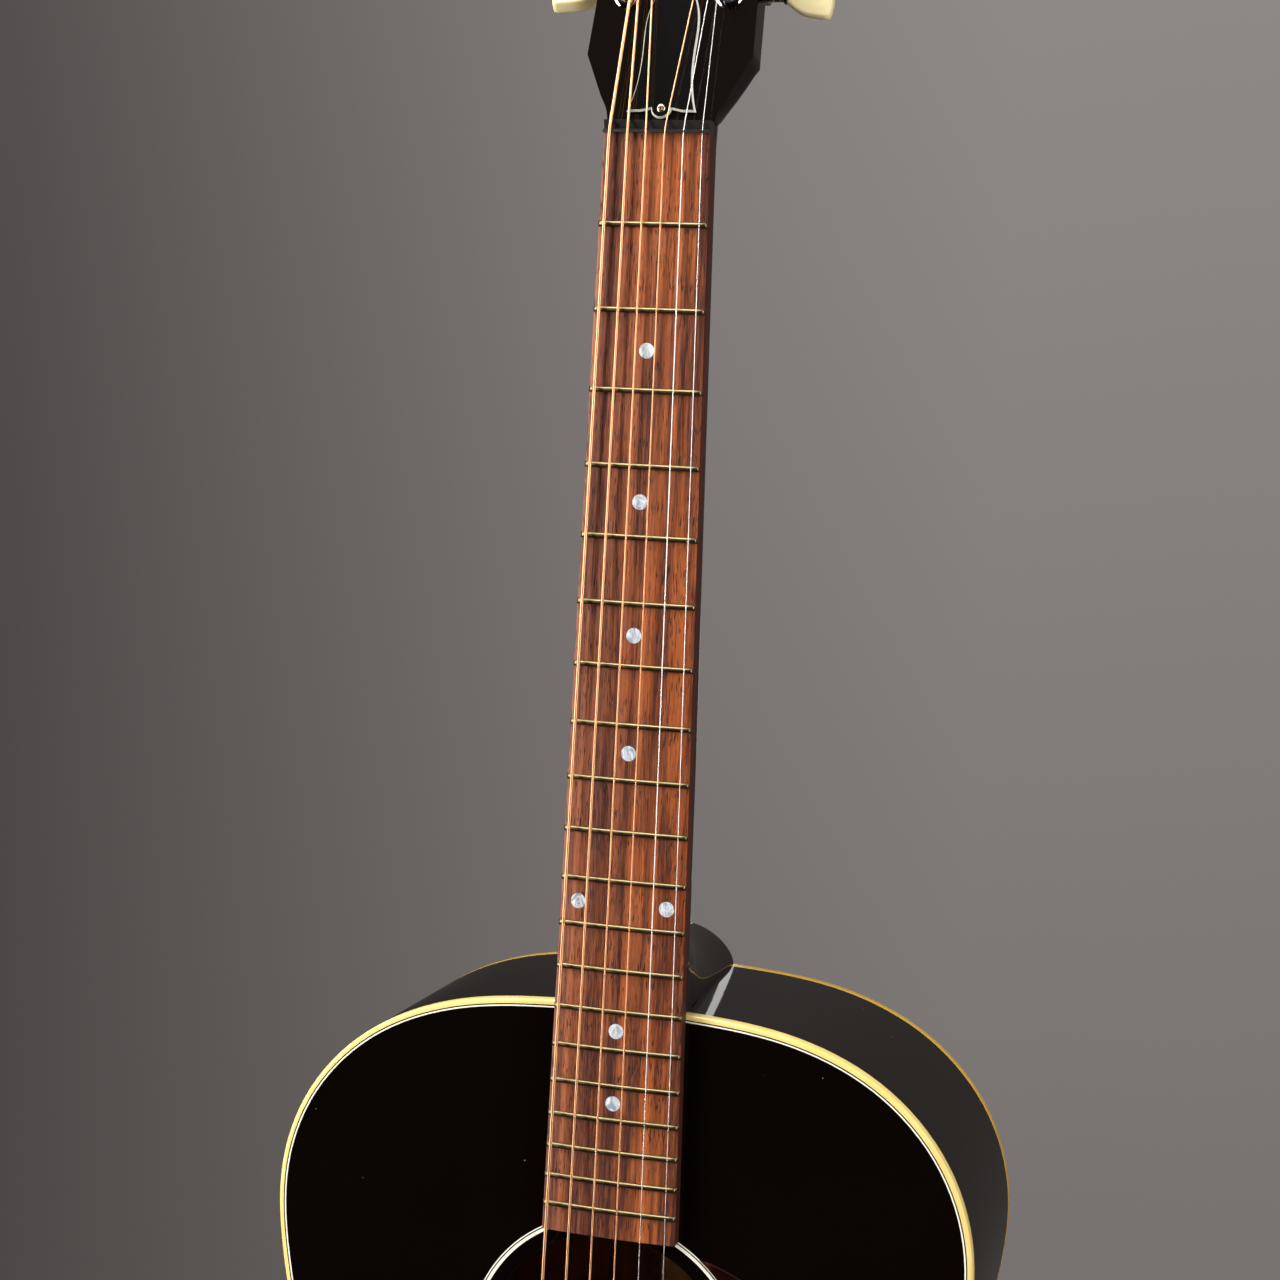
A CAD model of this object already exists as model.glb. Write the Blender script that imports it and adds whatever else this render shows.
from math import atan2, cos, pi, radians, sin, sqrt

import bmesh
import bpy
import numpy as np
from mathutils import Matrix, Vector


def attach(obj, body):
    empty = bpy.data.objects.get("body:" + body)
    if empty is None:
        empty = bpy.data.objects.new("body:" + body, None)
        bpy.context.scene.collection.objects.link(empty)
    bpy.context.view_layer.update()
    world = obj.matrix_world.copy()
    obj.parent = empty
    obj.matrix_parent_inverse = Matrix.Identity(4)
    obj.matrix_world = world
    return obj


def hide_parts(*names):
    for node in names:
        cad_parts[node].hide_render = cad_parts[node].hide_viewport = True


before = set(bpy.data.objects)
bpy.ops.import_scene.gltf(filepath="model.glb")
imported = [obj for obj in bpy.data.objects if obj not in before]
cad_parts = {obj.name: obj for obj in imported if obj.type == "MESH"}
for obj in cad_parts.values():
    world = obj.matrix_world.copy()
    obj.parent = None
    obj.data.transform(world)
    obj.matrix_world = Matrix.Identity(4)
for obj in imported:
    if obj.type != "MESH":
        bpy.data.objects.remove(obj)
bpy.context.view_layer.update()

# A black steel-string guitar. Lengths are millimetres until a mesh is made.
# X is the treble side, Y runs from the soundboard to the back, Z up the neck.
MM = 0.001

# ---- sizes shared by several pieces, as in the CAD model ----
BODY_TOP_Z, BODY_TAIL_Z = -347.6, -862.0
DEPTH_AT_NECK, DEPTH_AT_TAIL, BACK_DOME_R = 99.5, 123.8, 5000.0
PLATE_T, SIDE_T = 2.8, 2.1
BINDING_W, BINDING_H = 2.1, 4.8
BACK_BINDING_W, BACK_BINDING_H = 1.6, 5.2             # its visible strip is taller than the CAD's
BLACK_EDGE, WHITE_EDGE, LINE_DEPTH = 2.6, 3.2, 1.5    # insets where the two lines end
HOLE_Z, HOLE_R, ROSETTE_DEPTH = -494.9, 51.6, 1.0
ROSETTE_R, BLACK_RING_OUT, BLACK_RING_IN, ROSETTE_INNER_R = 60.0, 59.5, 59.0, 57.7

SCALE = 628.65
NUT_HALF_W, BOARD_TAPER, BOARD_END_Z = 21.7, 0.01466, -441.8
BOARD_T, BOARD_R = 7.2, 304.8
FRET_W, FRET_H, FRET_COUNT = 2.3, 1.1, 20
NUT_T, HEAD_ANGLE, HEAD_T, VENEER_T = 5.0, 17.0, 14.0, 1.8

POST_V, POST_U, POST_WAIST_R = (53.8, 90.8, 127.8), (20.9, 19.6, 18.3), 2.8
STRING_RISE, STRING_OVER_FRETS = 5.6, 0.35
STRING_R = (0.15, 0.205, 0.305, 0.405, 0.535, 0.675)
WRAP_WIRE = (0.0, 0.0, 0.22, 0.26, 0.34, 0.42)        # wrap wire thickness; plain strings have none
NUT_SPREAD, SADDLE_SPREAD = 37.4, 55.4
SADDLE_Z, SADDLE_SLANT, SADDLE_TOP = -631.0, 2.4, 12.2
BRIDGE_T, PIN_BEHIND, PIN_R = 8.0, 15.0, 2.7
WORM_OFFSET, WORM_DEPTH = 8.5, 5.2
KNOB_START, KNOB_END = 39.5, 58.6
KNOB_REST = (12.0, 64.0, -38.0, 27.0, -58.0, 40.0)

OUTLINE = (
    (0, BODY_TOP_Z), (35, -348.6), (67, -352.4), (108.2, -369.2), (137.4, -401.5),
    (147.2, -434), (145.6, -468), (134.8, -545), (153, -609), (185, -665),
    (203.4, -730), (190, -798), (146, -840), (100, -854.4), (50, -860.3), (0, BODY_TAIL_Z),
)


# ---- curves ----
def spline(points, start=None, end=None):
    """A smooth curve through points, as a function of shares of its length, 0 to 1."""
    p = np.array(points, float)
    last = len(p) - 1
    span = np.linalg.norm(np.diff(p, axis=0), axis=1)
    knots = np.concatenate([[0], np.cumsum(span)])
    slope = np.diff(p, axis=0) / span[:, None]
    matrix, right = np.zeros((last + 1, last + 1)), np.zeros_like(p)
    for i in range(1, last):
        before, after = span[i - 1], span[i]
        matrix[i, i - 1:i + 2] = after, 2 * (before + after), before
        right[i] = 3 * (after * slope[i - 1] + before * slope[i])
    for i, neighbour, tangent, chord in ((0, 1, start, slope[0]), (last, last - 1, end, slope[-1])):
        matrix[i, i] = 1
        if tangent is None:
            matrix[i, neighbour] = 0.5
            right[i] = 1.5 * chord
        else:
            right[i] = np.array(tangent, float) / np.linalg.norm(tangent)
    speed = np.linalg.solve(matrix, right)

    def at(share):
        s = np.clip(np.atleast_1d(share), 0, 1) * knots[-1]
        i = np.clip(np.searchsorted(knots, s, side="right") - 1, 0, last - 1)
        h = span[i][:, None]
        u = (s - knots[i])[:, None] / h
        return (
            p[i] * (2 * u ** 3 - 3 * u ** 2 + 1) + p[i + 1] * (3 * u ** 2 - 2 * u ** 3)
            + speed[i] * h * (u ** 3 - 2 * u ** 2 + u) + speed[i + 1] * h * (u ** 3 - u ** 2)
        )

    return at


def arc(centre, radius, start, end, steps):
    """Points of a circular arc in a plane, angles in degrees."""
    angles = np.radians(np.linspace(start, end, steps))
    return [(centre[0] + radius * cos(a), centre[1] + radius * sin(a)) for a in angles]


def rounded_path(points, radii, steps=8):
    """A line through points whose inner corners are rounded by these distances."""
    p = [np.array(q, float) for q in points]
    path = [p[0]]
    for before, corner, after, radius in zip(p, p[1:], p[2:], radii):
        a = corner + (before - corner) / np.linalg.norm(before - corner) * radius
        b = corner + (after - corner) / np.linalg.norm(after - corner) * radius
        for u in np.linspace(0, 1, steps):
            path.append(a * (1 - u) ** 2 + corner * 2 * u * (1 - u) + b * u ** 2)
    return [*path, p[-1]]


# ---- meshes ----
def make_object(name, vertices, faces, bands=None, sharp=35):
    """A mesh object from millimetre points; edges steeper than sharp stay crisp."""
    mesh = bpy.data.meshes.new(name)
    mesh.from_pydata([tuple(v) for v in np.array(vertices, float) * MM], [], faces)
    if bands is not None:
        mesh.polygons.foreach_set("material_index", bands)
    work = bmesh.new()
    work.from_mesh(mesh)
    bmesh.ops.remove_doubles(work, verts=work.verts, dist=1e-7)
    bmesh.ops.recalc_face_normals(work, faces=work.faces)
    work.to_mesh(mesh)
    work.free()
    mesh.polygons.foreach_set("use_smooth", [True] * len(mesh.polygons))
    mesh.set_sharp_from_angle(angle=radians(sharp))
    obj = bpy.data.objects.new(name, mesh)
    bpy.context.scene.collection.objects.link(obj)
    return obj


def skin_data(rings, closed=True, looped=False, caps=True, band=None):
    """Faces between rings of points that each have the same number of points."""
    rings = np.array(rings, float)
    count, size = rings.shape[:2]
    faces, bands = [], []
    for r in range(count if looped else count - 1):
        for k in range(size if closed else size - 1):
            a, b, following = r * size, (r + 1) % count * size, (k + 1) % size
            faces.append((a + k, a + following, b + following, b + k))
            bands.append(band(r, k) if band else 0)
    if caps and not looped:
        faces += [tuple(range(size)), tuple(range((count - 1) * size, count * size))]
        bands += [bands[0], bands[-1]]
    return rings.reshape(-1, 3), faces, bands


def skin(name, rings, sharp=35, **how):
    return make_object(name, *skin_data(rings, **how), sharp=sharp)


def gather(name, parts, sharp=35):
    """One object from several skins."""
    vertices, faces, bands = [], [], []
    for points, part_faces, part_bands in parts:
        start = len(vertices)
        vertices += list(points)
        faces += [tuple(start + i for i in face) for face in part_faces]
        bands += part_bands
    return make_object(name, vertices, faces, bands, sharp)


def lathe_data(profile, place, steps=48, band=None):
    """A closed profile of (radius, height) turned about the Z axis of a place."""
    rings = []
    for radius, height in profile:
        ring = [(radius * cos(a), radius * sin(a), height) for a in np.arange(steps) * 2 * pi / steps]
        rings.append(moved(ring, place))
    return skin_data(rings, caps=False, band=band)


def plate_data(outline, levels, place, band=None):
    """A flat piece built up from copies of its outline: (inset, height) for each."""
    rings = []
    for inset, height in levels:
        rings.append(moved([(x, y, height) for x, y in inset_loop(outline, inset)], place))
    return skin_data(rings, band=band)


def inset_loop(points, distance):
    """A closed loop of plane points moved towards its inside."""
    p = np.array(points, float)
    before, after = p - np.roll(p, 1, axis=0), np.roll(p, -1, axis=0) - p
    before /= np.linalg.norm(before, axis=1)[:, None]
    after /= np.linalg.norm(after, axis=1)[:, None]
    area = np.sum(p[:, 0] * np.roll(p[:, 1], -1) - np.roll(p[:, 0], -1) * p[:, 1])
    turn = 1 if area > 0 else -1
    normal = np.stack([-(before + after)[:, 1], (before + after)[:, 0]], axis=1) * turn
    normal /= np.linalg.norm(normal, axis=1)[:, None]
    half_cos = np.sqrt(np.clip((1 + np.sum(before * after, axis=1)) / 2, 0.2, 1))
    return p + normal * distance / half_cos[:, None]


def tube_data(points, radius, sides=12):
    """A round bar along a line of points; radius may be one value or one per point."""
    p = np.array(points, float)
    radii = np.broadcast_to(radius, len(p))
    along = np.gradient(p, axis=0)
    along /= np.linalg.norm(along, axis=1)[:, None]
    across = np.cross(along[0], (1.0, 0.1, 0.0))
    rings = []
    for centre, direction, r in zip(p, along, radii):
        across = across - direction * (across @ direction)
        across /= np.linalg.norm(across)
        other = np.cross(direction, across)
        angles = np.arange(sides) * 2 * pi / sides
        rings.append([centre + r * (cos(a) * across + sin(a) * other) for a in angles])
    return skin_data(rings)


def moved(points, place):
    """Points taken from a local frame to the guitar's."""
    return [tuple(place @ Vector(p)) for p in points]


# ---- frames ----
TILT = radians(HEAD_ANGLE)
OUTWARD = Vector((0, -cos(TILT), sin(TILT)))     # out of the headstock's face
UPWARD = Vector((0, sin(TILT), cos(TILT)))       # along that face


def frame_of(origin, x, y, z):
    columns = Matrix((x, y, z)).transposed().to_4x4()
    return Matrix.Translation(Vector(origin)) @ columns


HEAD = frame_of((0, 0, NUT_T), (1, 0, 0), UPWARD, OUTWARD)
FRONT = frame_of((0, 0, 0), (1, 0, 0), (0, 0, 1), (0, -1, 0))   # local Z out of the soundboard


def post_places():
    treble = list(zip(POST_U, POST_V))
    return treble + [(-u, v) for u, v in reversed(treble)]


def string_x(number, spread):
    return spread / 2 - (number - 1) * spread / 5


def board_half(z):
    return NUT_HALF_W - BOARD_TAPER * z


def fret_z(number):
    return -SCALE * (1 - 2 ** (-number / 12))


def crown(x, radius=BOARD_R):
    """How far the fingerboard's arch has dropped at this distance from the middle."""
    return radius - np.sqrt(radius ** 2 - np.square(x))


# ---- materials ----
class Finish:
    """A material and short ways to add nodes to it. Object coordinates are in metres."""

    def __init__(self, name, **surface):
        self.material = bpy.data.materials.new(name)
        self.material.use_nodes = True
        self.tree = self.material.node_tree
        self.surface = self.tree.nodes["Principled BSDF"]
        self.place = self.node("TexCoord").outputs["Object"]
        self.bumps = []
        self.set(self.surface, surface)

    def node(self, kind, inputs=None, **settings):
        made = self.tree.nodes.new("ShaderNode" + kind)
        for key, value in settings.items():
            setattr(made, key, value)
        self.set(made, inputs or {})
        return made

    def set(self, node, inputs):
        for key, value in inputs.items():
            socket = node.inputs[key.replace("_", " ") if isinstance(key, str) else key]
            if isinstance(value, bpy.types.NodeSocket):
                self.tree.links.new(value, socket)
            else:
                socket.default_value = value

    def stretched(self, stretch):
        return self.node("Mapping", {"Vector": self.place, "Scale": stretch}).outputs[0]

    def noise(self, scale, detail=3.0, roughness=0.5, distortion=0.0, stretch=None):
        place = self.stretched(stretch) if stretch else self.place
        made = self.node("TexNoise", {
            "Vector": place, "Scale": scale, "Detail": detail,
            "Roughness": roughness, "Distortion": distortion,
        })
        return made.outputs["Fac"]

    def ramp(self, factor, *stops):
        """Colours or grey values at places from 0 to 1."""
        made = self.node("ValToRGB", {"Fac": factor})
        elements = made.color_ramp.elements
        while len(elements) < len(stops):
            elements.new(0.5)
        for element, (position, value) in zip(elements, stops):
            element.position = position
            colour = (value,) * 3 if isinstance(value, (int, float)) else value
            element.color = (*colour, 1.0)
        return made.outputs["Color"]

    def mix(self, factor, a, b, blend="MIX"):
        made = self.node("Mix", data_type="RGBA", blend_type=blend)
        for socket, value in ((0, factor), (6, a), (7, b)):
            if isinstance(value, tuple):
                value = (*value, 1.0)
            self.set(made, {socket: value})
        return made.outputs[2]

    def math(self, operation, a, b=0.0):
        return self.node("Math", {0: a, 1: b}, operation=operation).outputs[0]

    def axis(self, name):
        return self.node("SeparateXYZ", {"Vector": self.place}).outputs[name]

    def colour(self, value):
        self.set(self.surface, {"Base_Color": value})

    def rough(self, factor, low, high):
        self.set(self.surface, {"Roughness": self.ramp(factor, (0.25, low), (0.75, high))})

    def bump(self, height, depth):
        """Relief of this depth in metres, on top of any relief added before."""
        inputs = {"Height": height, "Distance": depth, "Strength": 1.0}
        if self.bumps:
            inputs["Normal"] = self.bumps[-1]
        self.bumps.append(self.node("Bump", inputs).outputs["Normal"])
        self.set(self.surface, {"Normal": self.bumps[-1]})


def rgb(red, green, blue):
    """A colour as seen on a screen, 0 to 255, for a shader."""
    def linear(value):
        value /= 255
        return value / 12.92 if value <= 0.04045 else ((value + 0.055) / 1.055) ** 2.4

    return linear(red), linear(green), linear(blue)


def black_lacquer():
    paint = Finish("black_lacquer", IOR=1.5, Specular_Tint=(1.0, 0.90, 0.86, 1.0))
    tint = paint.noise(9.0, 2.0)
    base = paint.mix(tint, rgb(6, 4, 3), rgb(11, 5, 3))
    cells = paint.node("TexVoronoi", {"Vector": paint.place, "Scale": 130.0, "Randomness": 1.0})
    near = paint.ramp(cells.outputs["Distance"], (0.018, 1.0), (0.032, 0.0))
    chosen = paint.node("SeparateColor", {"Color": cells.outputs["Color"]}).outputs[0]
    specks = paint.math("MULTIPLY", near, paint.ramp(chosen, (0.6, 0.0), (1.0, 0.9)))
    paint.colour(paint.mix(specks, base, rgb(190, 180, 165)))
    paint.rough(paint.noise(40.0, 3.0), 0.012, 0.035)
    paint.bump(paint.noise(14.0, 1.0), 0.00018)
    paint.bump(paint.noise(320.0, 2.0), 0.0000035)
    return paint.material


def wood(name, light, dark, along, pore=0.5, roughness=(0.5, 0.7), grain=260.0, coat=0.0):
    """Raw or oiled wood with its grain running along one axis, 0, 1 or 2."""
    paint = Finish(name, Coat_Weight=coat, Coat_Roughness=0.3)
    stretch = [1.0, 1.0, 1.0]
    stretch[along] = 0.03
    streaks = paint.noise(grain, 4.0, 0.6, 0.4, tuple(stretch))
    broad = paint.noise(grain * 0.12, 2.0, 0.5, 0.6, tuple(stretch))
    tone = paint.math("ADD", paint.math("MULTIPLY", streaks, 0.6), paint.math("MULTIPLY", broad, 0.4))
    base = paint.mix(paint.ramp(tone, (0.36, 0.0), (0.62, 1.0)), dark, light)
    stretch[along] = 0.07
    pores = paint.ramp(paint.noise(grain * 9, 1.0, 0.5, 0.0, tuple(stretch)), (0.60, 0.0), (0.68, 1.0))
    deep = tuple(c * 0.45 for c in dark)
    paint.colour(paint.mix(paint.math("MULTIPLY", pores, pore), base, deep))
    paint.rough(streaks, *roughness)
    paint.bump(streaks, 0.00004)
    paint.bump(paint.math("SUBTRACT", 1.0, pores), 0.00006)
    return paint.material


def fingerboard_wood():
    """Oiled rosewood: orange-brown, with violet-brown figure towards the bass side."""
    paint = Finish("rosewood", Specular_IOR_Level=0.3)
    figure = paint.noise(105.0, 4.0, 0.62, 0.7, (1.0, 0.3, 0.045))
    lines = paint.noise(420.0, 4.0, 0.6, 0.3, (1.0, 0.3, 0.02))
    fine = paint.noise(1500.0, 3.0, 0.6, 0.2, (1.0, 0.5, 0.04))
    glow = paint.noise(46.0, 2.0, 0.5, 0.3, (1.0, 0.3, 0.55))
    warm = paint.mix(paint.ramp(figure, (0.34, 0.0), (0.60, 1.0)), rgb(96, 42, 20), rgb(178, 94, 42))
    cool = paint.mix(paint.ramp(figure, (0.36, 0.0), (0.64, 1.0)), rgb(70, 40, 36), rgb(158, 94, 66))
    sideways = paint.math("ADD", paint.axis("X"), paint.math("MULTIPLY", glow, 0.055))
    sideways = paint.node("MapRange", {0: sideways, 1: 0.002, 2: 0.040}).outputs[0]
    base = paint.mix(sideways, cool, warm)
    base = paint.mix(paint.ramp(lines, (0.50, 0.0), (0.64, 0.75)), base, rgb(62, 28, 24))
    dark = paint.ramp(paint.noise(72.0, 3.0, 0.55, 0.9, (1.0, 0.3, 0.03)), (0.52, 0.0), (0.62, 0.8))
    base = paint.mix(dark, base, rgb(58, 30, 28))
    base = paint.mix(paint.ramp(fine, (0.45, 0.0), (0.75, 0.35)), base, rgb(204, 116, 62))
    pores = paint.ramp(paint.noise(2300.0, 1.0, 0.5, 0.0, (1.0, 0.6, 0.085)), (0.56, 0.0), (0.61, 1.0))
    some = paint.ramp(paint.noise(120.0, 2.0), (0.4, 0.25), (0.62, 1.0))
    pores = paint.math("MULTIPLY", pores, some)
    paint.colour(paint.mix(paint.math("MULTIPLY", pores, 0.9), base, rgb(38, 18, 14)))
    paint.rough(fine, 0.38, 0.56)
    paint.bump(fine, 0.00003)
    paint.bump(paint.math("SUBTRACT", 1.0, pores), 0.00012)
    return paint.material


def metal(name, colour, low, high, wear=0.4, scale=600.0, stretch=None, depth=0.000004):
    paint = Finish(name, Metallic=1.0)
    marks = paint.noise(scale, 4.0, 0.6, 0.0, stretch)
    dull = tuple(c * (1 - 0.35 * wear) for c in colour)
    paint.colour(paint.mix(paint.noise(45.0, 3.0), colour, dull))
    paint.rough(marks, low, high)
    paint.bump(marks, depth)
    return paint.material


def plastic(name, colour, shade, roughness, scale=70.0, glow=0.0, radius=None, coat=0.3):
    """Moulded or cut plastic whose colour drifts a little."""
    paint = Finish(name, Coat_Weight=coat, Coat_Roughness=0.08, Subsurface_Weight=glow)
    if radius:
        paint.set(paint.surface, {"Subsurface_Radius": radius, "Subsurface_Scale": 1.0})
    paint.colour(paint.mix(paint.noise(scale, 3.0, 0.55, 0.6), colour, shade))
    paint.rough(paint.noise(scale * 6, 3.0), *roughness)
    paint.bump(paint.noise(scale * 12, 2.0), 0.000006)
    return paint.material


def tortoise_shell():
    paint = Finish("tortoise", Coat_Weight=1.0, Coat_Roughness=0.03, IOR=1.5)
    clouds = paint.noise(38.0, 4.0, 0.6, 1.6)
    base = paint.ramp(
        clouds, (0.30, rgb(20, 5, 4)), (0.48, rgb(34, 9, 6)), (0.58, rgb(96, 30, 16)), (0.70, rgb(24, 7, 5))
    )
    paint.colour(base)
    paint.rough(paint.noise(90.0, 2.0), 0.07, 0.14)
    paint.bump(paint.noise(20.0, 1.0), 0.00008)
    return paint.material


def mother_of_pearl():
    paint = Finish("pearl", Coat_Weight=0.8, Coat_Roughness=0.06)
    folds = paint.noise(210.0, 3.0, 0.5, 2.2, (1.0, 1.0, 0.5))
    base = paint.ramp(
        folds, (0.36, rgb(150, 168, 190)), (0.46, rgb(206, 220, 232)),
        (0.52, rgb(252, 252, 250)), (0.60, rgb(190, 200, 218)),
    )
    paint.colour(base)
    paint.set(paint.surface, {"Metallic": paint.ramp(folds, (0.3, 0.0), (0.7, 0.3))})
    paint.rough(folds, 0.18, 0.34)
    paint.bump(folds, 0.00002)
    return paint.material


def wound_string():
    """Bronze wrap wire: ridges follow the turns, which the mesh's UV counts along the string."""
    paint = Finish("bronze_string", Metallic=1.0)
    run = paint.node("UVMap").outputs["UV"]
    turns = paint.node("SeparateXYZ", {"Vector": run}).outputs["Y"]
    wave = paint.math("ABSOLUTE", paint.math("SINE", paint.math("MULTIPLY", turns, pi)))
    groove = paint.ramp(wave, (0.05, 0.0), (0.4, 1.0))
    paint.colour(paint.mix(groove, rgb(196, 126, 76), rgb(255, 196, 146)))
    paint.rough(paint.noise(500.0, 2.0), 0.30, 0.40)
    paint.bump(wave, 0.00003)
    return paint.material


def make_finishes():
    glow = (0.0010, 0.0007, 0.0004)
    return {
        "black_lacquer": black_lacquer(),
        "spruce": wood("spruce", rgb(226, 190, 138), rgb(190, 146, 96), 2, 0.1, grain=520.0),
        "spruce_across": wood("spruce_across", rgb(222, 186, 136), rgb(188, 144, 96), 0, 0.1, grain=420.0),
        "mahogany": wood("mahogany", rgb(150, 88, 54), rgb(104, 54, 32), 2, 0.6),
        "rosewood": fingerboard_wood(),
        "rosewood_edge": wood("rosewood_edge", rgb(84, 32, 16), rgb(46, 16, 8), 2, 0.8, (0.4, 0.55)),
        "bridge_rosewood": wood(
            "bridge_rosewood", rgb(112, 58, 36), rgb(56, 28, 20), 0, 0.9, (0.36, 0.52), coat=0.1
        ),
        "maple": wood("maple", rgb(222, 190, 146), rgb(196, 156, 110), 0, 0.2),
        "cream_binding": plastic(
            "cream_binding", rgb(250, 222, 146), rgb(240, 204, 112), (0.12, 0.22), 60.0, 0.25, glow
        ),
        "amber_binding": plastic(
            "amber_binding", rgb(255, 206, 84), rgb(250, 190, 56), (0.14, 0.24), 60.0, 0.25, glow
        ),
        "white_plastic": plastic(
            "white_plastic", rgb(250, 248, 236), rgb(240, 236, 216), (0.2, 0.32), 120.0
        ),
        "black_plastic": plastic(
            "black_plastic", rgb(6, 5, 5), rgb(11, 10, 9), (0.04, 0.07), 90.0, coat=0.0
        ),
        "dark_nut": plastic(
            "dark_nut", rgb(42, 38, 37), rgb(28, 26, 26), (0.30, 0.42), 300.0, coat=0.1
        ),
        "tortoise": tortoise_shell(),
        "pearl": mother_of_pearl(),
        "bone": plastic("bone", rgb(238, 228, 198), rgb(222, 206, 168), (0.28, 0.4), 260.0, 0.2, glow),
        "fret_nickel": metal("fret_nickel", rgb(126, 112, 80), 0.30, 0.44, stretch=(0.1, 1.0, 1.0)),
        "chrome": metal("chrome", rgb(226, 227, 230), 0.04, 0.11, 0.2),
        "steel": metal("steel", rgb(190, 190, 192), 0.20, 0.34),
        "warm_nickel": metal("warm_nickel", rgb(222, 196, 158), 0.18, 0.28),
        "brass": metal("brass", rgb(214, 176, 100), 0.2, 0.34),
        "bronze_string": wound_string(),
        "steel_string": metal(
            "steel_string", rgb(250, 244, 236), 0.26, 0.30, 0.1, 300.0, (1.0, 1.0, 0.05), 0.0000005
        ),
        "button_cream": plastic(
            "button_cream", rgb(255, 240, 196), rgb(246, 222, 156), (0.12, 0.2), 45.0, 0.3, glow
        ),
    }


FINISH = make_finishes()


def finish_piece(obj, finishes, body="root", replaces=()):
    """Gives a piece its materials, its body and the CAD nodes that it stands for."""
    names = [finishes] if isinstance(finishes, str) else finishes
    for name in names:
        obj.data.materials.append(FINISH[name])
    if replaces:
        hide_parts(*([replaces] if isinstance(replaces, str) else replaces))
    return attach(obj, body)


# ---- body ----
HALF_STEPS = 150


def body_loop():
    """The outline once round from the neck joint, and its normals to the inside."""
    half = spline(OUTLINE, (1, 0), (-1, 0))(np.linspace(0, 1, HALF_STEPS + 1))
    other = half[::-1] * (-1, 1)
    loop = np.vstack([half[:-1], other[:-1]])
    along = np.roll(loop, -1, axis=0) - np.roll(loop, 1, axis=0)
    along /= np.linalg.norm(along, axis=1)[:, None]
    return loop, np.stack([along[:, 1], -along[:, 0]], axis=1)


LOOP, INWARD = body_loop()


def dome_centre():
    rise, run = DEPTH_AT_TAIL - DEPTH_AT_NECK, BODY_TOP_Z - BODY_TAIL_Z
    chord = sqrt(rise ** 2 + run ** 2)
    reach = sqrt(BACK_DOME_R ** 2 - (chord / 2) ** 2)
    middle_y, middle_z = (DEPTH_AT_NECK + DEPTH_AT_TAIL) / 2, (BODY_TOP_Z + BODY_TAIL_Z) / 2
    return middle_y - reach * run / chord, middle_z - reach * rise / chord


def dome_y(x, z, depth=0.0):
    """Depth of the domed back at a place, or of a surface so much inside it."""
    centre_y, centre_z = dome_centre()
    return centre_y + np.sqrt((BACK_DOME_R - depth) ** 2 - x ** 2 - (z - centre_z) ** 2)


def level(inset, y=None, inside_back=None):
    """The outline moved inwards, at one depth or following the back."""
    flat = LOOP + INWARD * inset
    depth = np.full(len(flat), y) if inside_back is None else dome_y(flat[:, 0], flat[:, 1], inside_back)
    return np.stack([flat[:, 0], depth, flat[:, 1]], axis=1)


def strip(name, section, finish, replaces, band=None):
    """A strip right round the body from the levels at its section's corners."""
    obj = skin(name, section, looped=True, band=band)
    return finish_piece(obj, finish, replaces=replaces)


def make_rims():
    round_r = 1.1
    corner = arc((round_r, round_r), round_r, 180, 270, 5)
    edge = [level(inset, y) for inset, y in corner]
    strip(
        "top_binding_strip",
        [level(0, BINDING_H), *edge, level(BINDING_W, 0), level(BINDING_W, BINDING_H)],
        "cream_binding", "top_binding",
    )
    lines = (
        ("purfling_black_line", BINDING_W, BLACK_EDGE, "black_plastic", "purfling_black"),
        ("purfling_white_line", BLACK_EDGE, WHITE_EDGE, "white_plastic", "purfling_white"),
    )
    for name, outer, inner, finish, node in lines:
        corners = [level(outer, 0), level(inner, 0), level(inner, LINE_DEPTH), level(outer, LINE_DEPTH)]
        strip(name, corners, finish, node)
    back_edge = [level(0, inside_back=0.35), level(0.1, inside_back=0.1), level(0.35, inside_back=0.0)]
    strip(
        "back_binding_strip",
        [level(0, inside_back=BACK_BINDING_H), *back_edge,
         level(BACK_BINDING_W, inside_back=0), level(BACK_BINDING_W, inside_back=BACK_BINDING_H)],
        "amber_binding", "back_binding",
    )
    outer = [level(0, BINDING_H), level(0, 40.0), level(0, 75.0), level(0, inside_back=BACK_BINDING_H)]
    inner = [level(SIDE_T, inside_back=BACK_BINDING_H), level(SIDE_T, BINDING_H)]
    section = np.array([*outer, *inner]).transpose(1, 0, 2)
    halves = {
        "side_treble": section[:HALF_STEPS + 1],
        "side_bass": np.concatenate([section[HALF_STEPS:], section[:1]]),
    }
    for node, rings in halves.items():
        obj = skin(f"{node}_bent", rings, band=lambda r, k: 0 if k < len(outer) - 1 else 1)
        finish_piece(obj, ["black_lacquer", "mahogany"], replaces=node)


def circle_facing(points, radius, centre_z):
    """Points of a circle in the same directions from its centre as other points."""
    angles = [atan2(z - centre_z, x) for x, _, z in points]
    return np.array([(radius * cos(a), 0.0, centre_z + radius * sin(a)) for a in angles])


def at_depth(ring, y):
    ring = np.array(ring)
    ring[:, 1] = y
    return ring


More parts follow.
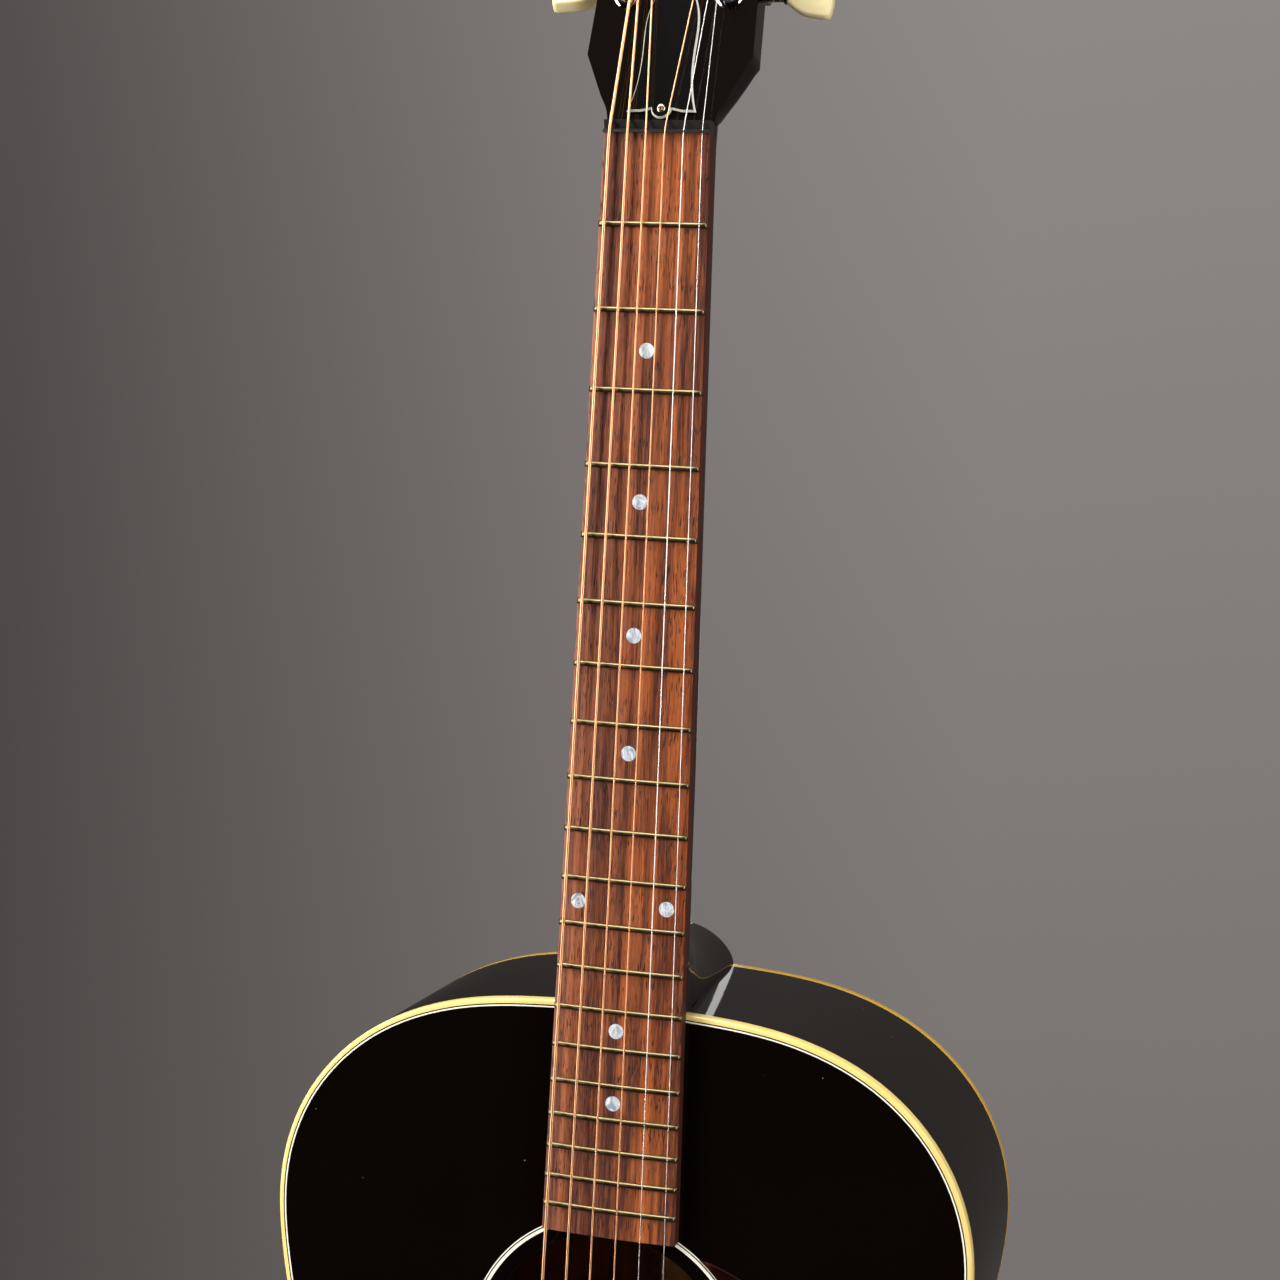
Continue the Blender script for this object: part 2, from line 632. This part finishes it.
def make_plates():
    edge = level(WHITE_EDGE, 0)
    lip = 0.5
    hole = circle_facing(edge, HOLE_R, HOLE_Z)
    hole_lip = circle_facing(edge, HOLE_R + lip, HOLE_Z)
    seat_in = circle_facing(edge, ROSETTE_INNER_R, HOLE_Z)
    seat_out = circle_facing(edge, ROSETTE_R, HOLE_Z)
    front = [seat_out + (edge - seat_out) * share for share in np.linspace(0, 1, 14)]
    wall = level(BINDING_W, LINE_DEPTH)
    seat = [
        at_depth(hole, PLATE_T), at_depth(hole, lip), hole_lip,
        seat_in, at_depth(seat_in, ROSETTE_DEPTH), at_depth(seat_out, ROSETTE_DEPTH),
    ]
    underside = [
        at_depth(edge, LINE_DEPTH), wall, at_depth(wall, PLATE_T), at_depth(seat_out, PLATE_T),
    ]
    lacquered = len(seat) + len(front) - 1
    top = skin(
        "soundboard_plate", [*seat, *front, *underside], looped=True, sharp=50,
        band=lambda r, k: 0 if r < lacquered else 1,
    )
    finish_piece(top, ["black_lacquer", "spruce"], replaces="soundboard")

    def dome_rings(depth, shares):
        rim = level(BACK_BINDING_W, 0)
        middle = np.array([0.0, 0.0, -600.0])
        made = []
        for share in shares:
            flat = middle + (rim - middle) * share
            flat[:, 1] = dome_y(flat[:, 0], flat[:, 2], depth)
            made.append(flat)
        return made

    shares = np.linspace(0, 1, 26)
    back_rings = [*dome_rings(0, shares), *dome_rings(PLATE_T, shares[::-1])]
    back = skin("back_arched", back_rings, caps=False, band=lambda r, k: 0 if r < len(shares) else 1)
    finish_piece(back, ["black_lacquer", "mahogany"], replaces="back_plate")


def make_rosette():
    centre = FRONT @ Matrix.Translation((0, HOLE_Z, 0))

    def ring(outer, inner):
        profile = [(outer, 0), (outer, -ROSETTE_DEPTH), (inner, -ROSETTE_DEPTH), (inner, 0)]
        return lathe_data(profile + profile[:1], centre, 160)

    white_rings = [ring(ROSETTE_R, BLACK_RING_OUT), ring(BLACK_RING_IN, ROSETTE_INNER_R)]
    white = gather("rosette_white_rings", white_rings)
    finish_piece(white, "white_plastic", replaces="rosette_white")
    black = gather("rosette_black_ring", [ring(BLACK_RING_OUT, BLACK_RING_IN)])
    finish_piece(black, "black_plastic", replaces="rosette_black")


def make_pickguard():
    upper, lower, radius = 51.5, -62.0, ROSETTE_R + 0.2
    inner = arc((0, HOLE_Z), radius, lower, upper, 40)
    outer = spline(
        [inner[-1], (55, -453.5), (77, -470), (98, -503), (107, -545), (101, -582),
         (83, -601), (60, -594), inner[0]],
        (1.0, -0.12), (-0.85, 0.55),
    )(np.linspace(0, 1, 90))
    outline = [*inner[:-1], *[tuple(p) for p in outer[:-1]]]
    levels = [(0, 0.02), (0, 0.75), (0.12, 1.0), (0.4, 1.18), (0.6, 1.2)]
    guard = gather("pickguard_sheet", [plate_data(outline, levels, FRONT)], sharp=60)
    finish_piece(guard, "tortoise", replaces="pickguard")


# ---- neck ----
NECK_ROUNDNESS = 2.35
CAP_ROUNDNESS, CAP_ROWS = 1.65, 4                     # the heel is more pointed near its cap
CAP_MIDDLE, CAP_SHARE = np.array([0.0, 100.2, -340.0]), 0.965    # its rounded edge ends in a flat


def neck_rows():
    """Sections from the heel's cap up to the headstock's top.

    Each row: section end (y, z), back of the neck (y, z), half width, roundness."""
    joint = BODY_TOP_Z - 0.4
    heel = [
        (100.0, joint, 100.0, -331.6, 21.2), (84.0, joint, 84.0, -330.0, 21.7),
        (66.0, joint, 66.0, -327.0, 22.4), (46.0, joint, 48.0, -321.1, 23.5),
        (27.0, joint, 33.0, -310.3, 24.7), (13.0, joint, 24.6, -299.0, 25.6),
        (3.0, joint, 20.6, -288.0, 26.3), (0.0, -335.0, 18.5, -274.0, 26.6),
        (0.0, -305.0, 17.4, -258.0, 26.1), (0.0, -265.0, 16.9, -236.0, 25.6),
        (0.0, -225.0, 16.5, -208.0, 25.0),
    ]
    shares = [max(0, i - CAP_ROWS) / (len(heel) - 1 - CAP_ROWS) for i in range(len(heel))]
    rows = [(*row, CAP_ROUNDNESS + (NECK_ROUNDNESS - CAP_ROUNDNESS) * s) for row, s in zip(heel, shares)]
    made = list(spline(rows)(np.linspace(0, 1, 70)))
    for z in np.linspace(-180, -40, 6):
        made.append((0.0, z, 14.3 + 3.3 * z / BODY_TOP_Z, z, board_half(z), NECK_ROUNDNESS))
    return made


HEAD_WAIST = ((22.0, 0.0), (23.7, 6.0), (26.4, 11.0))
HEAD_EAR, HEAD_SHOULDER, HEAD_TOP_V = (33.9, 27.7), (28.8, 161.0), 171.0
CROWN_RISE = HEAD_TOP_V - HEAD_SHOULDER[1]
CROWN_R = (HEAD_SHOULDER[0] ** 2 + CROWN_RISE ** 2) / (2 * CROWN_RISE)


def head_half(v):
    waist = spline(HEAD_WAIST, (0.12, 1), (0.42, 1))(np.linspace(0, 1, 30))
    us = [*waist[:, 0], HEAD_EAR[0], HEAD_SHOULDER[0]]
    vs = [*waist[:, 1], HEAD_EAR[1], HEAD_SHOULDER[1]]
    return float(np.interp(v, vs, us))


def head_point(v, n):
    """(y, z) of a place on the headstock: v up its face, n out of it."""
    place = UPWARD * v + OUTWARD * n
    return place.y, NUT_T + place.z


def make_neck():
    # each row has its section and how much of the headstock's crown it takes
    rows = [(row, 0.0) for row in neck_rows()]
    blend = (
        (-18.0, (0, -18.0), (14.5, -19.0), 2.4), (-9.0, (0, -9.0), (14.75, -8.0), 2.5),
        (-2.0, (0, -2.0), (15.35, 0.5), 2.6), (3.0, (0, 3.5), (16.1, 6.0), 2.8),
    )
    for z, end, back, roundness in blend:
        rows.append(((*end, *back, board_half(z), roundness), 0.0))
    squaring = ((4, 1.3, 3.2), (8, 0.75, 3.8), (13, 0.35, 5.0), (19, 0.1, 7.0), (25, 0, 9.0))
    for v, extra, roundness in squaring:
        back = head_point(v, -HEAD_T - extra)
        rows.append(((*head_point(v, 0), *back, head_half(v), roundness), 0.0))
    for v in (HEAD_EAR[1], 30.5, 40, 60, 85, 110, 135, 150, 158, HEAD_SHOULDER[1]):
        share = max(0.0, (v - 60) / (HEAD_SHOULDER[1] - 60))
        rows.append(((*head_point(v, 0), *head_point(v, -HEAD_T), head_half(v), 13.0), share))
    angles = np.linspace(0, pi, 41)
    front = np.linspace(-1, 1, 15)[1:-1]
    rings = []
    for (end_y, end_z, back_y, back_z, half, roundness), bulge in rows:
        end, back = Vector((0, end_y, end_z)), Vector((0, back_y, back_z))
        power = 2 / roundness
        ring = [
            (half * np.sign(cos(a)) * abs(cos(a)) ** power, end + (back - end) * abs(sin(a)) ** power)
            for a in angles
        ]
        ring += [(half * share, end) for share in front]
        points = []
        for x, point in ring:
            rise = sqrt(CROWN_R ** 2 - min(abs(x), HEAD_SHOULDER[0]) ** 2) - (CROWN_R - CROWN_RISE)
            points.append(tuple(Vector((x, point.y, point.z)) + UPWARD * rise * bulge))
        rings.append(points)
    cap = np.array(rings[0])
    lid = CAP_MIDDLE + (cap - CAP_MIDDLE) * CAP_SHARE
    lid[:, 1] = CAP_MIDDLE[1]
    lid[0, 2] = cap[0, 2]
    lid[len(angles) - 1:, 2] = cap[0, 2]
    rings.insert(0, [tuple(p) for p in lid])
    neck = skin("neck_carved", rings, sharp=42)
    finish_piece(neck, "black_lacquer", replaces="neck")


# ---- fingerboard ----
def make_fingerboard():
    edge_r = 0.35
    rings = []
    for z in np.linspace(0, BOARD_END_Z, 24):
        half = board_half(z)
        side = BOARD_T - float(crown(half))
        xs = np.linspace(-half + edge_r, half - edge_r, 19)
        top = [(x, -(BOARD_T - float(crown(x))), z) for x in xs]
        left = [(-half, -0.02, z), (-half, -(side - edge_r), z), (-half + 0.12, -(side - 0.1), z)]
        right = [(-x, y, z) for x, y, _ in reversed(left)]
        rings.append([*left, *top, *right])
    face = range(len(left) - 1, len(left) + len(top))
    board = skin("fingerboard_planed", rings, sharp=30, band=lambda r, k: 0 if k in face else 1)
    finish_piece(board, ["rosewood", "rosewood_edge"], replaces="fingerboard")

    parts = []
    bevel, tang_half, tang_depth = FRET_H * 0.62, 0.28, 2.0
    for number in range(1, FRET_COUNT + 1):
        z, half = fret_z(number), board_half(fret_z(number))
        stations = [(-half - 0.02, 0.15), (-half + bevel * 0.75, 0.8), (-half + bevel * 1.25, 1.0)]
        stations += [(x, 1.0) for x in np.linspace(-half + 3, half - 3, 9)]
        stations += [(-x, share) for x, share in reversed(stations[:3])]
        fret_rings = []
        for x, share in stations:
            base = -(BOARD_T - float(crown(x)))
            bead = [
                (x, base - FRET_H * share * sin(a), z + FRET_W / 2 * cos(a))
                for a in np.linspace(0, pi, 11)
            ]
            tang = [
                (x, base + 0.25, z - tang_half), (x, base + tang_depth, z - tang_half),
                (x, base + tang_depth, z + tang_half), (x, base + 0.25, z + tang_half),
            ]
            foot = [(x, base + 0.05, z - FRET_W / 2), (x, base + 0.05, z + FRET_W / 2)]
            fret_rings.append([*bead, foot[0], *tang, foot[1]])
        parts.append(skin_data(fret_rings))
    frets = gather("frets_pressed", parts, sharp=40)
    finish_piece(frets, "fret_nickel", replaces="frets")

    dots = []
    spots = [(0.0, n) for n in (3, 5, 7, 9, 15, 17)] + [(-18.5, 12), (18.5, 12)]
    disc = [(0, 0.03), (2.85, 0.03), (3.08, 0.0), (3.15, -0.1), (3.15, -1.2), (0, -1.2)]
    for x, number in spots:
        z = (fret_z(number - 1) + fret_z(number)) / 2
        tilt = Matrix.Rotation(atan2(x, BOARD_R), 4, "Y")
        place = Matrix.Translation((x, z, BOARD_T - float(crown(x)))) @ tilt
        dots.append(lathe_data(disc, FRONT @ place, 40))
    finish_piece(gather("fingerboard_dots_inlaid", dots), "pearl", replaces="fingerboard_dots")


# ---- strings ----
def string_points(number):
    """The string's line under the bridge, over saddle and nut, to its post."""
    r = STRING_R[number - 1]
    x_nut, x_saddle = string_x(number, NUT_SPREAD), string_x(number, SADDLE_SPREAD)
    z_saddle = SADDLE_Z + SADDLE_SLANT * x_saddle / SADDLE_SPREAD
    y_saddle = -(SADDLE_TOP - float(crown(x_saddle)) + r)
    y_nut = -(BOARD_T + FRET_H + STRING_OVER_FRETS - float(crown(x_nut)) + r)
    z_hole = z_saddle - PIN_BEHIND + PIN_R + 0.35 + r
    u, v = post_places()[number - 1]
    side = 1 if u > 0 else -1
    touch = HEAD @ Vector((u - side * (POST_WAIST_R + r), v, VENEER_T + STRING_RISE))
    return [
        (x_saddle, 7.5, z_hole), (x_saddle, -BRIDGE_T - r - 0.1, z_hole),
        (x_saddle, y_saddle, z_saddle), (x_nut, y_nut, 0.9), tuple(touch),
    ]


def along_string(path, step):
    """Extra points so that long straight runs are divided."""
    made = [np.array(path[0], float)]
    for a, b in zip(path, path[1:]):
        a, b = np.array(a, float), np.array(b, float)
        pieces = max(1, int(np.linalg.norm(b - a) / step))
        made += [a + (b - a) * i / pieces for i in range(1, pieces + 1)]
    return made


def count_turns(obj, path, wire, sides):
    """UV whose second value counts the wrap's turns, slanted by one turn round the string."""
    lengths = np.concatenate([[0], np.cumsum(np.linalg.norm(np.diff(path, axis=0), axis=1))])
    layer = obj.data.uv_layers.new(name="turns")
    for polygon in obj.data.polygons:
        if len(polygon.vertices) != 4:
            continue
        corners = [(i // sides, i % sides) for i in polygon.vertices]
        wraps = max(k for _, k in corners) - min(k for _, k in corners) > 1
        for loop, (ring, k) in zip(polygon.loop_indices, corners):
            turn = (k + sides if wraps and k == 0 else k) / sides
            layer.data[loop].uv = (turn, lengths[ring] / wire + turn)


def make_strings():
    sides, bends, longest_run = 14, (1.5, 3.0, 5.0), 12.0
    for number, (r, wire) in enumerate(zip(STRING_R, WRAP_WIRE), 1):
        finish = "bronze_string" if wire else "steel_string"
        path = along_string(rounded_path(string_points(number), bends), longest_run)
        string = gather(f"string_{number}_drawn", [tube_data(path, r, sides)])
        count_turns(string, path, wire or 1.0, sides)
        finish_piece(string, finish, replaces=f"string_{number}")
        coil = coil_path(number)
        wrap = gather(f"string_{number}_wraps", [tube_data(coil, r, sides)])
        count_turns(wrap, coil, wire or 1.0, sides)
        finish_piece(wrap, finish, f"post_{number}")


def coil_path(number):
    """Turns round the post that end through its hole."""
    r = STRING_R[number - 1]
    u, v = post_places()[number - 1]
    side = 1 if u > 0 else -1
    turns = 1.6 if r > 0.5 else 2.1 if r > 0.25 else 3.1
    reach, base, pitch = POST_WAIST_R + r, VENEER_T + STRING_RISE, 2 * r + 0.04
    points = []
    for t in np.linspace(0, turns, int(turns * 28)):
        a = pi - 2 * pi * t
        points.append((u + side * reach * cos(a), v + reach * sin(a), base + pitch * t))
    # the end dips into the post's hole and shows a little on its far side
    through = pi - 2 * pi * turns - 0.5
    top = base + pitch * turns + 0.3
    for out in (1.6, -3.9):
        points.append((u + side * out * cos(through), v + out * sin(through), top))
    return [tuple(HEAD @ Vector(p)) for p in points]


# ---- tuning machines ----
def make_tuners():
    # profiles of (radius, height above the headstock's wood)
    bushings = []
    post = [
        (0, -18.0), (3.0, -18.0), (3.0, 4.0), (POST_WAIST_R, 4.7), (POST_WAIST_R, 9.6), (3.0, 9.9),
        (3.0, 10.3), (2.75, 10.65), (2.3, 10.8), (0, 10.8),
    ]
    flange = [
        (3.15, 1.9), (3.15, 3.0), (3.45, 3.25), (4.6, 3.1), (5.4, 2.75), (5.95, 2.3), (6.3, 1.85),
        (6.3, 1.8), (4.85, 1.8), (4.85, -9.2), (3.15, -9.2), (3.15, 1.9),
    ]
    for number, (u, v) in enumerate(post_places(), 1):
        place = HEAD @ Matrix.Translation((u, v, 0))
        bushings.append(lathe_data(flange, place, 56))
        turned = gather(f"tuner_post_{number}_turned", [lathe_data(post, place, 40)], sharp=30)
        finish_piece(turned, "chrome", f"post_{number}", replaces=f"tuner_post_{number}")
        make_knob(number, u, v)
    finish_piece(gather("tuner_bushings_turned", bushings, 30), "chrome", replaces="tuner_bushings")


def make_knob(number, u, v):
    """Worm shaft and moulded button on the outer side of one tuning machine."""
    side = 1 if u > 0 else -1
    turn = Matrix.Rotation(radians(KNOB_REST[number - 1]), 4, "Z")
    origin = HEAD @ Vector((0, v + WORM_OFFSET, -HEAD_T - WORM_DEPTH))
    # local Z outwards along the shaft, X towards the post, as the gear lies
    outwards = Vector((side, 0, 0))
    towards = -UPWARD
    axle = frame_of(origin, towards, outwards.cross(towards), outwards)
    half = [(KNOB_START, 2.6), (KNOB_START + 4.8, 6.2), (KNOB_END - 3.4, 8.8)]
    flare = spline(half, (1, 0.7), (1, 0.14))(np.linspace(0, 1, 16))
    right = [(width, reach) for reach, width in flare]
    tip = ((8.75, 2.5), (8.2, 1.6), (6.4, 0.85), (3.3, 0.22))
    right += [(width, KNOB_END - below) for width, below in tip]
    outline = right + [(0, KNOB_END)] + [(-width, reach) for width, reach in reversed(right)]
    # the blade lies across local Y
    blade = axle @ turn @ frame_of((0, 0, 0), (1, 0, 0), (0, 0, 1), (0, -1, 0))
    rounding = [(0, 1.1), (0.1, 1.8), (0.4, 2.35), (0.95, 2.72), (1.7, 2.9)]
    levels = [(inset, -height) for inset, height in reversed(rounding)] + rounding
    button = gather(f"tuner_button_{number}", [plate_data(outline, levels, blade)], sharp=55)
    finish_piece(button, "button_cream", f"knob_{number}")
    shaft = [
        (0, abs(u) - 6.5), (1.7, abs(u) - 6.5), (1.7, KNOB_START - 1.6), (2.5, KNOB_START - 1.2),
        (2.7, KNOB_START - 0.5), (2.5, KNOB_START + 0.2), (1.5, KNOB_START + 0.6), (0, KNOB_START + 0.6),
    ]
    spindle = gather(f"tuner_shaft_{number}", [lathe_data(shaft, axle, 32)], sharp=30)
    finish_piece(spindle, "chrome", f"knob_{number}", replaces=f"tuner_knob_{number}")


# ---- truss rod cover ----
def make_cover():
    flare = spline(
        [(14.2, 2.9), (11.4, 15), (10.9, 30), (10.6, 44), (8.4, 51.2), (4.6, 58.0), (3.4, 62.5)],
        (-0.35, 1), (-0.05, 1),
    )(np.linspace(0, 1, 40))
    lobe = arc((0, 4.41), 4.26, -173.0, -90.0, 8)
    cap = arc((0, 62.93), 3.43, 7.0, 90.0, 7)
    right = [(-x, y) for x, y in reversed(lobe)] + [(8.5, 3.0)] + [tuple(p) for p in flare] + cap[1:]
    left = [(-x, y) for x, y in reversed(right[1:-1])]
    outline = right + left
    # a white core shows where its edge is bevelled
    base, face = VENEER_T, VENEER_T + 2.0
    levels = [(0, base), (0, base + 1.0), (0.6, face), (0.78, face)]
    bell = plate_data(outline, levels, HEAD, band=lambda r, k: 1 if r == 1 else 0)
    cover = gather("truss_rod_cover_bell", [bell], 30)
    finish_piece(cover, ["black_plastic", "white_plastic"], replaces="truss_rod_cover")


# ---- CAD nodes that keep their shape ----
KEPT = {
    "bridge_rosewood": ("bridge",),
    "black_lacquer": ("headstock_veneer",),
    "dark_nut": ("nut",),
    "bone": ("saddle",),
    "white_plastic": (*(f"bridge_pin_{number}" for number in range(1, 7)), "end_pin"),
    "pearl": ("side_dots",),
    "mahogany": ("neck_block", "tail_block", "top_lining", "back_lining"),
    "spruce": ("x_brace",),
    "spruce_across": ("top_braces", "back_braces"),
    "maple": ("bridge_plate",),
    "steel": ("truss_rod", "tuner_screws"),
    "warm_nickel": ("cover_screws",),
    "brass": ("truss_rod_nut",),
    "chrome": ("tuner_housings",),
}


def dress_cad_nodes():
    for finish, names in KEPT.items():
        for name in names:
            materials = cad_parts[name].data.materials
            materials.clear()
            materials.append(FINISH[finish])


# ---- studio, in metres ----
CAMERA_PLACE, CAMERA_LENS, CAMERA_SENSOR = (0.27146, -0.93739, -0.11172), 69.0598, 36.0
CAMERA_YAW, CAMERA_PITCH, CAMERA_ROLL = -16.119, -5.099, -2.585
FLOOR_MIDDLE, FLOOR_R = (0, 0.06, -0.8735), 0.95


def make_camera():
    yaw, pitch, roll = radians(CAMERA_YAW), radians(CAMERA_PITCH), radians(CAMERA_ROLL)
    forward = Vector((sin(yaw) * cos(pitch), cos(yaw) * cos(pitch), sin(pitch)))
    level_right = Vector((cos(yaw), -sin(yaw), 0))
    down = -level_right.cross(forward)
    right = level_right * cos(roll) + down * sin(roll)
    down = down * cos(roll) - level_right * sin(roll)
    data = bpy.data.cameras.new("camera")
    data.sensor_width, data.lens = CAMERA_SENSOR, CAMERA_LENS
    camera = bpy.data.objects.new("camera", data)
    camera.matrix_world = frame_of(CAMERA_PLACE, right, -down, -forward)
    bpy.context.scene.collection.objects.link(camera)
    bpy.context.scene.camera = camera


def softbox(name, place, target, size, power, colour=(1.0, 1.0, 1.0)):
    data = bpy.data.lights.new(name, "AREA")
    data.shape = "RECTANGLE"
    data.size, data.size_y = size
    data.energy, data.color = power, colour
    light = bpy.data.objects.new(name, data)
    light.location = place
    light.rotation_mode = "QUATERNION"
    light.rotation_quaternion = (Vector(target) - Vector(place)).to_track_quat("-Z", "Y")
    light.visible_camera = False
    bpy.context.scene.collection.objects.link(light)


def make_world():
    """A warm grey backdrop, lighter on the right; dark in front, where the studio is unlit."""
    world = bpy.data.worlds.new("studio")
    bpy.context.scene.world = world
    world.use_nodes = True
    nodes, links = world.node_tree.nodes, world.node_tree.links
    background = nodes["Background"]

    def math(operation, a, b):
        node = nodes.new("ShaderNodeMath")
        node.operation = operation
        for socket, value in zip(node.inputs, (a, b)):
            if isinstance(value, bpy.types.NodeSocket):
                links.new(value, socket)
            else:
                socket.default_value = value
        return node.outputs[0]

    def ramp(factor, stops):
        node = nodes.new("ShaderNodeValToRGB")
        links.new(factor, node.inputs[0])
        elements = node.color_ramp.elements
        while len(elements) < len(stops):
            elements.new(0.5)
        for element, (position, colour) in zip(elements, stops):
            element.position, element.color = position, (*colour, 1.0)
        return node.outputs[0]

    direction = nodes.new("ShaderNodeSeparateXYZ")
    links.new(nodes.new("ShaderNodeTexCoord").outputs["Generated"], direction.inputs[0])
    sideways = math("MULTIPLY_ADD", direction.outputs["X"], 0.5)
    sideways.node.inputs[2].default_value = 0.5
    backdrop = ramp(sideways, [
        (0.10, rgb(84, 79, 78)), (0.245, rgb(77, 73, 72)), (0.30, rgb(101, 96, 94)),
        (0.362, rgb(121, 116, 114)), (0.43, rgb(131, 126, 123)), (0.50, rgb(131, 125, 122)),
    ])
    lift = math("MULTIPLY_ADD", direction.outputs["Z"], 0.80)
    lift.node.inputs[2].default_value = 1.07
    lift = math("MAXIMUM", math("MINIMUM", lift, 1.35), 0.55)

    def share(value, low, high, low_value, high_value):
        node = nodes.new("ShaderNodeMapRange")
        links.new(value, node.inputs[0])
        for socket, number in zip(node.inputs[1:], (low, high, low_value, high_value)):
            socket.default_value = number
        return node.outputs[0]

    facing = share(direction.outputs["Y"], -0.25, 0.25, 0.0, 0.38)
    above = share(direction.outputs["Z"], 0.1, 0.8, 0.02, 0.6)
    seen = nodes.new("ShaderNodeLightPath").outputs["Is Camera Ray"]
    strength = math("MULTIPLY", lift, math("MAXIMUM", seen, math("MAXIMUM", facing, above)))
    links.new(backdrop, background.inputs["Color"])
    links.new(strength, background.inputs["Strength"])


def make_floor():
    """A pale round floor that fades out, so that it stays out of the camera's frame."""
    steps = 96
    x, y, z = FLOOR_MIDDLE
    ring = [(x + FLOOR_R * cos(a), y + FLOOR_R * sin(a), z) for a in np.arange(steps) * 2 * pi / steps]
    mesh = bpy.data.meshes.new("floor")
    mesh.from_pydata(ring, [], [tuple(range(steps))])
    floor = bpy.data.objects.new("floor", mesh)
    bpy.context.scene.collection.objects.link(floor)
    paint = Finish("floor_paper", Roughness=0.85)
    paint.colour(paint.mix(paint.noise(3.0, 3.0), rgb(196, 192, 188), rgb(188, 184, 180)))
    away = paint.node("VectorMath", {0: paint.place, 1: FLOOR_MIDDLE}, operation="DISTANCE")
    paint.set(paint.surface, {"Alpha": paint.ramp(away.outputs["Value"], (0.62, 1.0), (0.94, 0.0))})
    mesh.materials.append(paint.material)
    floor.visible_glossy = False


def make_studio():
    make_world()
    make_floor()
    softbox("overhead", (-0.5, -0.55, 1.35), (0, 0, -0.3), (0.9, 0.7), 36.0)
    softbox("left", (-1.45, -0.95, 0.0), (0, 0, -0.4), (0.6, 2.2), 48.0, (1.0, 0.98, 0.95))
    softbox("right", (1.6, -0.75, 0.1), (0, 0, -0.4), (0.4, 2.0), 26.0)
    softbox("rim", (-0.19, 1.03, -0.05), (0, 0.03, -0.05), (0.010, 1.2), 0.05)
    settings = bpy.context.scene.view_settings
    settings.view_transform, settings.look = "Standard", "None"


make_rims()
make_plates()
make_rosette()
make_pickguard()
make_neck()
make_fingerboard()
make_strings()
make_tuners()
make_cover()
dress_cad_nodes()
make_studio()
make_camera()
